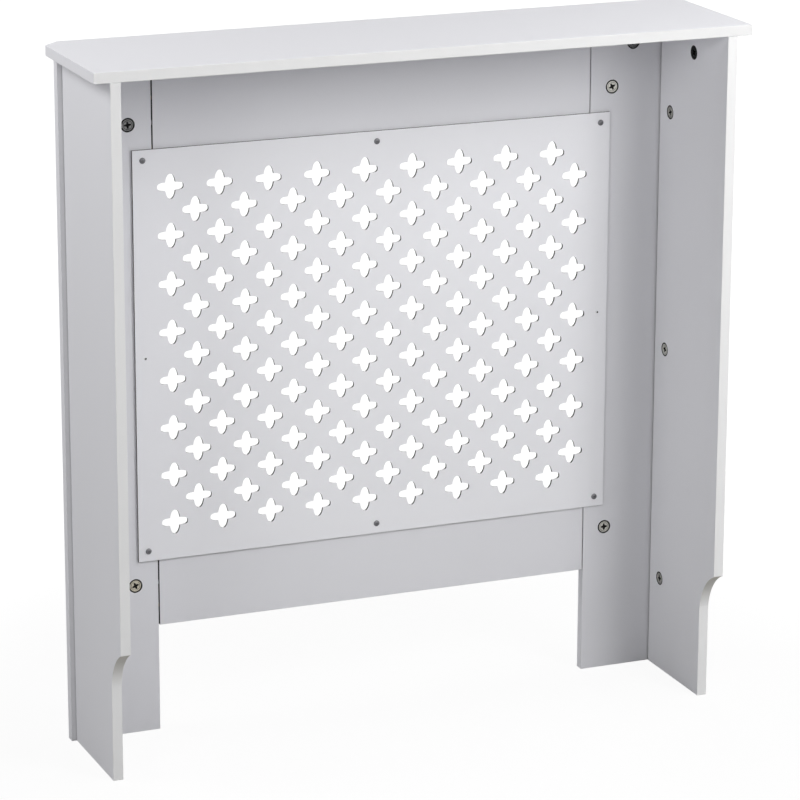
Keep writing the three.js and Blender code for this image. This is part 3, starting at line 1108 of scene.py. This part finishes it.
def grilleLoops(centre, width, height):
    # The panel's edge, the crosses, the screw holes and the two empty holes half way up
    s = grilleSettings
    right = width / 2
    top = height / 2
    loops = [[(-right, -top), (right, -top), (right, top), (-right, top)]]
    cross = crossOutline()
    for u, v in crossCentres(width, height):
        loops.append([(u + x, v + y) for x, y in cross])
    for node in cadNodes:
        if node.startswith("grille_screw_"):
            low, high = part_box(node)
            at = (low + high) / 2 - centre
            loops.append(circlePoints((at.x, at.z), s["screwHole"] / 2, s["screwHoleSides"]))
            if node in ("grille_screw_top_left", "grille_screw_top_right"):
                loops.append(circlePoints((at.x, 0), s["spareHole"] / 2, s["spareHoleSides"]))
    return loops


def grilleMesh(loops, thickness):
    # The loops filled as a flat curve, with thickness and rounded edges
    s = grilleSettings
    edge = s["edge"]
    curve = bpy.data.curves.new("grilleOutline", "CURVE")
    curve.dimensions = "2D"
    curve.fill_mode = "BOTH"
    for points in loops:
        loop = curve.splines.new("POLY")
        loop.points.add(len(points) - 1)
        for point, (u, v) in zip(loop.points, points):
            point.co = (u, v, 0, 1)
        loop.use_cyclic_u = True
    curve.extrude = thickness / 2 - edge
    curve.bevel_depth = edge
    curve.bevel_resolution = s["edgeSteps"]
    curve.offset = -edge
    shaped = addObject("grilleOutline", curve)
    graph = bpy.context.evaluated_depsgraph_get()
    mesh = bpy.data.meshes.new_from_object(shaped.evaluated_get(graph))
    bpy.data.objects.remove(shaped)
    return mesh


def coatGrilleEdges(panel, centre, width, height):
    # Bare fibre in the holes, with painted light where a wall faces up, and near black, a little paler,
    # round the panel's own edge
    s = grilleSettings
    slots = panel.data.materials
    slots.append(grilleCore)
    slots.append(grilleRim)
    for face in panel.data.polygons:
        if abs(face.normal.y) > s["flatFrom"]:
            continue
        at = face.center - centre
        atSide = abs(at.x) > width / 2 - s["rimBand"]
        atEnd = abs(at.z) > height / 2 - s["rimBand"]
        edging = grilleRim if atSide or atEnd else grilleCore
        face.material_index = slots.find(edging.name)


def makeGrille():
    low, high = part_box("grille_panel")
    centre = (low + high) / 2
    width = high.x - low.x
    height = high.z - low.z
    mesh = grilleMesh(grilleLoops(centre, width, height), high.y - low.y)
    bm = bmesh.new()
    bm.from_mesh(mesh)
    bmesh.ops.remove_doubles(bm, verts=bm.verts, dist=mergeDistance)
    bm.transform(Matrix.Translation(centre) @ Matrix.Rotation(quarterTurn, 4, "X"))
    panel = pieceFromMesh(
        "grillePanel", meshFromBmesh("grillePanel", bm), grillePaint, ["grille_panel"]
    )
    softShade(panel, grilleSettings["sharpAngle"])
    coatGrilleEdges(panel, centre, width, height)
    return panel


grille = makeGrille()
print("grille made:", len(grille.data.polygons), "faces")


# Cam fittings

camSettings = {
    "sides": 64,
    "sharpAngle": 30,
    "chamfer": 0.6 * mm,
    "grooveRadius": 5.2 * mm,
    "grooveWidth": 0.9 * mm,
    "grooveDepth": 0.3 * mm,
    "driveReach": 4.3 * mm,
    "driveTip": 1.0 * mm,
    "driveWaist": 2.1 * mm,
    "driveDepth": 3.5 * mm,
    "driveAbove": 0.5 * mm,  # height over the face where the cutter is at its full width
    "driveTaper": 0.7,
    "slotWidth": 6.9 * mm,
    "slotPast": 2 * mm,  # how far the slot runs on past the middle
    "boltAxis": 5.8 * mm,
    "usualLook": ("camZinc", 10),  # a metal, and the turn of the drive in degrees
    # metals other than camZinc paint each cam's own reflection and shade into its colour
    "looks": {
        "cam_top_rail_left": ("camBright", 25),
        "cam_top_rail_right": ("camDull", 4),
        "cam_bottom_rail_left": ("camZinc", 2),
        "cam_bottom_rail_right": ("camWarm", 22),
        "cam_shelf_side_left": ("camDark", 40),
        "cam_shelf_side_right": ("camDull", 15),
        "cam_shelf_stile_left": ("camDull", -20),
        "cam_side_left_upper": ("camZinc", 20),
        "cam_side_left_middle": ("camBright", -12),
        "cam_side_left_lower": ("camZinc", 8),
    },
}


def camProfile(radius, height):
    # Face with its ring groove, chamfered rim and flat back
    s = camSettings
    groove = s["grooveRadius"]
    return [
        (0, 0),
        (groove - s["grooveWidth"] / 2, 0),
        (groove, -s["grooveDepth"]),
        (groove + s["grooveWidth"] / 2, 0),
        (radius - s["chamfer"], 0),
        (radius, -s["chamfer"]),
        (radius, -height),
        (0, -height),
    ]


def boltSlot(radius, height):
    # Opens along X for the bolt's head
    s = camSettings
    half = s["slotWidth"] / 2
    outline = [
        (-s["slotPast"], -half),
        (2 * radius, -half),
        (2 * radius, half),
        (-s["slotPast"], half),
    ]
    return prism(outline, 1.0, -height - overcut, -(s["boltAxis"] - half))


def camPlace(node):
    # Z out of the cam's face, X towards its bolt
    low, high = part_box(node)
    thin = thinAxis(high - low)
    centre = (low + high) / 2
    boltLow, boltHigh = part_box(node.replace("cam_", "bolt_"))
    towards = (boltLow + boltHigh) / 2 - centre
    towards[thin] = 0
    towards.normalize()
    if thin == 1:
        out = Vector((0, 1, 0))
    else:
        out = Vector((-1 if centre.x > 0 else 1, 0, 0))
    face = centre.copy()
    face[thin] = high[thin] if out[thin] > 0 else low[thin]
    basis = Matrix((towards, out.cross(towards), out)).transposed().to_4x4()
    return Matrix.Translation(face) @ basis


def makeCam(node):
    s = camSettings
    low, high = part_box(node)
    size = high - low
    radius = max(size) / 2
    height = size[thinAxis(size)]
    metal, turn = s["looks"].get(node, s["usualLook"])
    name = joinedWords("cam", node.split("_")[1:])
    mesh = lathe(camProfile(radius, height), s["sides"])
    piece = pieceFromMesh(name, mesh, camMetals[metal], [node])
    cutFrom(piece, [crossDrive(s, math.radians(turn), 0), boltSlot(radius, height)])
    softShade(piece, s["sharpAngle"])
    piece.matrix_world = camPlace(node)


for node in cadNodes:
    if node.startswith("cam_"):
        makeCam(node)
print("cams made")


# Grille screws

screwSettings = {
    "sides": 40,
    "sharpAngle": 35,
    "headRadius": 3.5 * mm,
    "headHeight": 1.7 * mm,
    "domeSteps": 7,
    "rim": 0.35 * mm,
    "shankRadius": 1.5 * mm,
    "thread": 0.25 * mm,
    "threadFrom": -1 * mm,
    "threadStep": 1.1 * mm,
    "tip": 2.0 * mm,
    "driveReach": 1.9 * mm,
    "driveTip": 0.35 * mm,
    "driveWaist": 0.7 * mm,
    "driveDepth": 1.2 * mm,
    "driveAbove": 1.0 * mm,
    "driveTaper": 0.5,
    "turns": [10, 37, 62, 80, 25, 51],  # degrees, one for each screw
}


def screwProfile(length):
    # Domed head, then a thread down to the tip, with height 0 under the head
    s = screwSettings
    points = [(0, s["headHeight"])]
    for step in range(1, s["domeSteps"] + 1):
        angle = quarterTurn * step / s["domeSteps"]
        drop = (s["headHeight"] - s["rim"]) * (1 - math.cos(angle))
        points.append((s["headRadius"] * math.sin(angle), s["headHeight"] - drop))
    points.append((s["headRadius"], 0))
    points.append((s["shankRadius"], 0))
    bottom = -(length - s["headHeight"])
    height = s["threadFrom"]
    while height - s["threadStep"] > bottom + s["tip"]:
        points.append((s["shankRadius"] - s["thread"], height))
        points.append((s["shankRadius"], height - s["threadStep"] / 2))
        height -= s["threadStep"]
    points.append((s["shankRadius"] - s["thread"], bottom + s["tip"]))
    points.append((0, bottom))
    return points


def makeScrew(node, turn):
    s = screwSettings
    low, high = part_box(node)
    centre = (low + high) / 2
    seat = Vector((centre.x, high.y - s["headHeight"], centre.z))
    mesh = lathe(screwProfile(high.y - low.y), s["sides"])
    name = joinedWords("grilleScrew", node.split("_")[2:])
    piece = pieceFromMesh(name, mesh, screwSteel, [node])
    cutFrom(piece, [crossDrive(s, 0, s["headHeight"])])
    softShade(piece, s["sharpAngle"])
    upright = Matrix.Rotation(-quarterTurn, 4, "X")
    turned = Matrix.Rotation(math.radians(turn), 4, "Z")
    piece.matrix_world = Matrix.Translation(seat) @ upright @ turned


screwNodes = sorted(n for n in cadNodes if n.startswith("grille_screw_"))
for node, turn in zip(screwNodes, screwSettings["turns"]):
    makeScrew(node, turn)
print("screws made")


# Bolts and dowels keep their solids and get their finishes

finishes = {"bolt": boltSteel, "dowel": dowelBeech}

for node in cadNodes:
    kind = node.split("_")[0]
    if kind in finishes:
        for slot in bpy.data.objects[node].material_slots:
            slot.material = finishes[kind]
print("bolts and dowels finished")

bpy.context.scene.view_settings.view_transform = "Standard"

bpy.context.view_layer.update()
